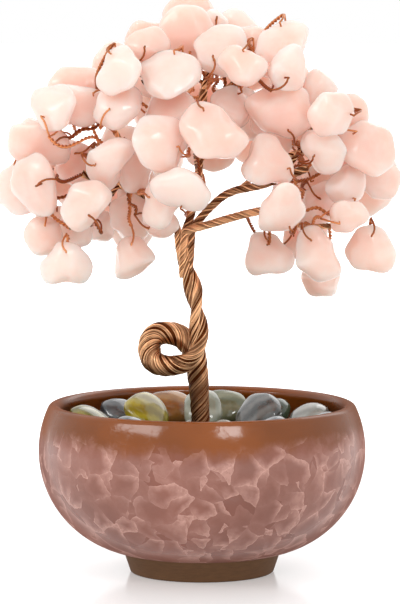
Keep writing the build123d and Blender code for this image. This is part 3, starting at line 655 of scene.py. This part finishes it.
def stone_mesh(bm, corners, seed, roundness):
    """Add a tumbled pebble in the place of its plain solid."""
    chance = random.Random(seed)
    centre = (corners.min(axis=0) + corners.max(axis=0)) / 2
    spread = np.linalg.svd(corners - centre, full_matrices=False)[2]
    sizes = [np.abs((corners - centre) @ axis).max() for axis in spread]
    if np.linalg.det(spread) < 0:
        spread[2] = -spread[2]
    made = bmesh.ops.create_icosphere(bm, subdivisions=4, radius=1.0)["verts"]
    shift = Vector([chance.uniform(-50, 50) for _ in range(3)])
    for vertex in made:
        unit = vertex.co.copy()
        lump = 1 + 0.09 * noise.noise(unit * 1.3 + shift) + 0.025 * noise.noise(unit * 3.1 + shift)
        local = [math.copysign(abs(value) ** roundness, value) * size * lump for value, size in zip(unit, sizes)]
        vertex.co = Vector(centre + sum(axis * value for axis, value in zip(spread, local)))
    bmesh.ops.smooth_vert(bm, verts=made, factor=0.5, use_axis_x=True, use_axis_y=True, use_axis_z=True)


def mesh_from(bm, name):
    bmesh.ops.recalc_face_normals(bm, faces=bm.faces)
    for face in bm.faces:
        face.smooth = True
    mesh = bpy.data.meshes.new(name)
    bm.to_mesh(mesh)
    bm.free()
    return mesh


def twig_path(corners, chip):
    """The wire of one twig: up the stem, round the chip's hole and back down the stem."""
    centre, normal, half = chip[:3]
    offsets = corners - centre
    heights = offsets @ normal
    flat = offsets - heights[:, None] * normal
    eye = (np.linalg.norm(flat, axis=1) < 0.0075) & (np.abs(heights) < half + 0.0017)
    if not eye.any() or min(heights[eye].max(), -heights[eye].min()) < half + 0.0009:
        return None
    tips = eye & ((heights > heights[eye].max() - 0.0003) | (heights < heights[eye].min() + 0.0003))
    hole = centre + flat[tips].mean(axis=0)
    from_hole = corners - hole
    rises = from_hole @ normal
    spans = np.linalg.norm(from_hole - rises[:, None] * normal, axis=1)
    forked = (np.abs(rises) < 0.0005) & (spans > 0.0058) & (spans < 0.0068)
    if not forked.any():
        return None
    fork = corners[forked].mean(axis=0)
    legs = []
    for side in (1, -1):
        tip = hole + normal * side * (half + 0.0014)
        run = tip - fork
        along = np.clip(((corners - fork) @ run) / (run @ run), 0, 1)
        legs.append(np.linalg.norm(corners - fork - along[:, None] * run, axis=1))
    stem = (np.minimum(*legs) > 0.0006) & (np.linalg.norm(corners - hole, axis=1) > 0.004)
    if not stem.any():
        return None
    far = corners[stem][np.linalg.norm(corners[stem] - fork, axis=1).argmax()]
    root = corners[np.linalg.norm(corners - far, axis=1) < 0.0009].mean(axis=0)
    return hole, fork, root


def twig_wire(hole, fork, root, normal, half, wire, seed):
    """Points along the wire of a twig: a twisted pair with a slight bow, and the eye through the chip."""
    chance = random.Random(seed)
    fork = hole + (fork - hole) * EYE_SHARE
    run = fork - root
    length = np.linalg.norm(run)
    head = run / length
    start = root - head * 0.0006
    side = normal - head * (normal @ head)
    side /= np.linalg.norm(side)
    other = np.cross(head, side)
    count = max(8, math.ceil(length / TWIG_PITCH * 9))
    shares = np.linspace(0, 1, count)
    turn = (1 - shares) * length / TWIG_PITCH * 2 * math.pi
    bow = np.sin(shares * math.pi) * length * chance.uniform(0.05, 0.12)
    sway = np.sin(shares * 3 * math.pi) * length * chance.uniform(-0.08, 0.08)
    lean = chance.uniform(0, 2 * math.pi)
    stem = start + (fork - start) * shares[:, None]
    stem += bow[:, None] * (math.cos(lean) * side + math.sin(lean) * other)
    stem += sway[:, None] * (math.cos(lean) * other - math.sin(lean) * side)
    coil = (np.cos(turn)[:, None] * side + np.sin(turn)[:, None] * other) * wire * 0.5
    rise = half + 0.0004
    over = [hole + normal * rise * 0.96 + (fork - hole) * 0.07, hole + normal * rise]
    hook = np.cross(normal, hole - fork) * chance.uniform(-0.28, 0.28)
    leg = []
    for share in (0.2, 0.4, 0.6, 0.8):
        lift = wire / 2 + (rise - wire / 2) * share**0.7
        leg.append(fork + (hole - fork) * share + hook * math.sin(math.pi * share) + normal * lift)
    top = leg + over + [hole + normal * half * 0.6]
    under = [point - 2 * normal * ((point - hole) @ normal) for point in reversed(top)]
    return np.array([*(stem + coil), *top, *under, *(stem - coil)[::-1]])


class GEMTREE_OT_bowl(bpy.types.Operator):
    """Glaze the bowl and colour the plaster bed very dark"""

    bl_idname = "gemtree.bowl"
    bl_label = "Bowl and bed"

    def execute(self, context):
        dress("bowl", glaze_finish())
        dress("plaster_bed", bed_finish())
        return {"FINISHED"}


class GEMTREE_OT_pebbles(bpy.types.Operator):
    """Replace the plain pebbles and gravel by tumbled stones"""

    bl_idname = "gemtree.pebbles"
    bl_label = "Pebbles"

    def execute(self, context):
        for name, (main, banding) in PEBBLE_COLOURS.items():
            bm = bmesh.new()
            stone_mesh(bm, solids_of(name)[0][0], name, 0.9)
            piece = finished(f"tumbled_{name}", mesh_from(bm, name), pebble_finish(name, main, banding))
            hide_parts(name)
            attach(piece, "pot")
        bm = bmesh.new()
        for number, (corners, _) in enumerate(solids_of("gravel")):
            stone_mesh(bm, corners, f"gravel {number}", 0.88)
        finish = pebble_finish("gravel", (0.12, 0.1, 0.07), (0.36, 0.32, 0.24))
        piece = finished("tumbled_gravel", mesh_from(bm, "gravel"), finish)
        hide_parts("gravel")
        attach(piece, "pot")
        return {"FINISHED"}


class GEMTREE_OT_trunk(bpy.types.Operator):
    """Wind the trunk and its curl from single wires"""

    bl_idname = "gemtree.trunk"
    bl_label = "Trunk"

    def execute(self, context):
        chosen = settings()
        mesh = trunk_mesh(chosen.trunk_strands, chosen.trunk_pitch, chosen.wire * 0.85)
        piece = finished("twisted_trunk", mesh, copper_finish("trunk_copper", chosen.copper, chosen.copper_dark, 0.054))
        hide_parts("trunk")
        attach(piece, "pot")
        return {"FINISHED"}


class GEMTREE_OT_limbs(bpy.types.Operator):
    """Wind the limbs and branches from single wires"""

    bl_idname = "gemtree.limbs"
    bl_label = "Limbs and branches"

    def execute(self, context):
        chosen = settings()
        copper = copper_finish("limb_copper", chosen.copper, chosen.copper_dark)
        groups = frame["record"]["behaviour"]["bodies"]
        for name, route in {**LIMB_ROUTES, **BRANCH_ROUTES}.items():
            if name in LIMB_ROUTES:
                mesh = rope_mesh(name, route, 9, 0.0008, 0.0068, chosen.wire)
            else:
                mesh = rope_mesh(name, route, 6, 0.00049, 0.005, chosen.wire)
            piece = finished(f"twisted_{name}", mesh, copper)
            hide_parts(name)
            if name in BENDS:
                before, after, start, end = BENDS[name]
                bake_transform(piece, before, after, [v * MM for v in start], [v * MM for v in end])
            else:
                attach(piece, next(body for body, members in groups.items() if name in members))
        return {"FINISHED"}


class GEMTREE_OT_twigs(bpy.types.Operator):
    """Twist the twigs and thread their eyes through the chips"""

    bl_idname = "gemtree.twigs"
    bl_label = "Twigs"

    def execute(self, context):
        chosen = settings()
        wire = chosen.wire * 1.2
        copper = copper_finish("twig_copper", chosen.twig_copper, chosen.twig_dark)
        groups = frame["record"]["behaviour"]["bodies"]
        for name, chip_nodes in TWIG_NODES.items():
            stones = [chip_facts(*solid) for node in chip_nodes for solid in solids_of(node)]
            twigs = [corners for corners, _ in solids_of(name)]
            paths = []
            for stone in stones:
                for corners in twigs:
                    found = twig_path(corners, stone)
                    if found:
                        seed = f"{name} {len(paths)}"
                        paths.append(twig_wire(*found, stone[1], stone[2], wire, seed))
                        break
            if len(paths) != len(stones):
                raise RuntimeError(f"{name}: {len(stones)} chips but {len(paths)} wires")
            mesh = wire_mesh(name, paths, [wire / 2] * len(paths))
            piece = finished(f"twisted_{name}", mesh, copper)
            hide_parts(name)
            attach(piece, next(body for body, members in groups.items() if name in members))
        return {"FINISHED"}


class GEMTREE_OT_chips(bpy.types.Operator):
    """Replace the plain chips by tumbled rose quartz"""

    bl_idname = "gemtree.chips"
    bl_label = "Chips"

    def execute(self, context):
        quartz = quartz_finish()
        groups = frame["record"]["behaviour"]["bodies"]
        for name in [node for nodes in TWIG_NODES.values() for node in nodes]:
            bm = bmesh.new()
            bm.verts.layers.float.new("tone")
            fullness = 1.08 if "drop" in name or "low" in name else settings().chip_fullness
            for number, (corners, flats) in enumerate(solids_of(name)):
                chip_mesh(bm, corners, flats, fullness, f"{name} {number}")
            piece = finished(f"quartz_{name}", mesh_from(bm, name), quartz)
            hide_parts(name)
            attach(piece, next(body for body, members in groups.items() if name in members))
        return {"FINISHED"}


class GEMTREE_OT_stage(bpy.types.Operator):
    """Set the floor, the soft light and the camera"""

    bl_idname = "gemtree.stage"
    bl_label = "Stage"

    def execute(self, context):
        scene = context.scene
        bm = bmesh.new()
        bmesh.ops.create_grid(bm, x_segments=1, y_segments=1, size=6.0)
        floor = bpy.data.objects.new("floor", mesh_from(bm, "floor"))
        scene.collection.objects.link(floor)
        floor.data.materials.append(self.floor_finish())

        world = bpy.data.worlds.new("studio")
        scene.world = world
        world.use_nodes = True
        tree = world.node_tree
        back = tree.nodes["Background"]
        back.inputs["Color"].default_value = (1, 1, 1, 1)
        level = tree.nodes.new("ShaderNodeMapRange")
        level.inputs["To Min"].default_value = 1.0
        level.inputs["To Max"].default_value = 1.0
        tree.links.new(self.seen(tree), level.inputs["Value"])
        tree.links.new(level.outputs["Result"], back.inputs["Strength"])

        self.lamp("key", (-0.67, -0.53, 0.6), (0.58, 0.19), 2.4)
        self.lamp("fill", (0.31, -0.8, 0.6), (0.28, 0.17), 1.6)
        self.lamp("back", (0.3, 0.7, 0.6), (0.6, 0.6), 1.2)

        camera = bpy.data.objects.new("camera", bpy.data.cameras.new("camera"))
        scene.collection.objects.link(camera)
        camera.data.sensor_fit = "VERTICAL"
        camera.data.sensor_height = 24.0
        camera.data.lens = 140.7
        camera.data.clip_end = 50.0
        camera.location = (-0.0005, -0.86, 0.1475)
        aim = Vector((-0.0005, 0.0, 0.0663)) - camera.location
        camera.rotation_euler = aim.to_track_quat("-Z", "Y").to_euler()
        scene.camera = camera
        scene.view_settings.view_transform = "Standard"
        return {"FINISHED"}

    def seen(self, tree):
        """1 where a ray comes from the camera, or through or off a clear or shiny piece."""
        path = tree.nodes.new("ShaderNodeLightPath")
        total = path.outputs["Is Camera Ray"]
        for kind in ("Is Glossy Ray", "Is Transmission Ray"):
            larger = tree.nodes.new("ShaderNodeMath")
            larger.operation = "MAXIMUM"
            tree.links.new(total, larger.inputs[0])
            tree.links.new(path.outputs[kind], larger.inputs[1])
            total = larger.outputs[0]
        return total

    def floor_finish(self):
        """Pale paper that keeps the shadow near the tree and goes to plain white further off."""
        finish = Finish("pale_floor")
        distance = finish.vector("LENGTH", finish.place(), output="Value")
        glow = finish.ramp(distance, 0.05, 0.4, 0.28, 1.0)
        finish.into("Base Color", (0.88, 0.88, 0.88, 1))
        finish.into("Roughness", 0.15)
        finish.into("Specular IOR Level", 0.8)
        finish.into("Emission Color", (1, 1, 1, 1))
        finish.into("Emission Strength", finish.math("MULTIPLY", self.seen(finish.tree), glow))
        return finish.material

    def lamp(self, name, place, size, power):
        data = bpy.data.lights.new(name, "AREA")
        data.shape = "RECTANGLE"
        data.size, data.size_y = size
        data.energy = power
        lamp = bpy.data.objects.new(name, data)
        bpy.context.scene.collection.objects.link(lamp)
        lamp.location = place
        lamp.rotation_euler = (Vector((0, 0, 0.08)) - Vector(place)).to_track_quat("-Z", "Y").to_euler()


class GEMTREE_PT_panel(bpy.types.Panel):
    """Sidebar list of the tree's steps and sizes"""

    bl_idname = "GEMTREE_PT_panel"
    bl_label = "Gemstone tree"
    bl_space_type = "VIEW_3D"
    bl_region_type = "UI"
    bl_category = "Gemstone tree"

    def draw(self, context):
        for name in GemstoneTreeSettings.__annotations__:
            self.layout.prop(context.scene.gemstone_tree, name)
        for operator in OPERATORS:
            self.layout.operator(operator.bl_idname)


OPERATORS = (
    GEMTREE_OT_bowl,
    GEMTREE_OT_pebbles,
    GEMTREE_OT_trunk,
    GEMTREE_OT_limbs,
    GEMTREE_OT_twigs,
    GEMTREE_OT_chips,
    GEMTREE_OT_stage,
)
CLASSES = (GemstoneTreeSettings, *OPERATORS, GEMTREE_PT_panel)


def register():
    for item in CLASSES:
        bpy.utils.register_class(item)
    bpy.types.Scene.gemstone_tree = bpy.props.PointerProperty(type=GemstoneTreeSettings)


def unregister():
    del bpy.types.Scene.gemstone_tree
    for item in reversed(CLASSES):
        bpy.utils.unregister_class(item)


def main():
    register()
    bpy.ops.gemtree.bowl()
    bpy.ops.gemtree.pebbles()
    bpy.ops.gemtree.trunk()
    bpy.ops.gemtree.limbs()
    bpy.ops.gemtree.twigs()
    bpy.ops.gemtree.chips()
    bpy.ops.gemtree.stage()
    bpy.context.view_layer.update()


if __name__ == "__main__":
    main()
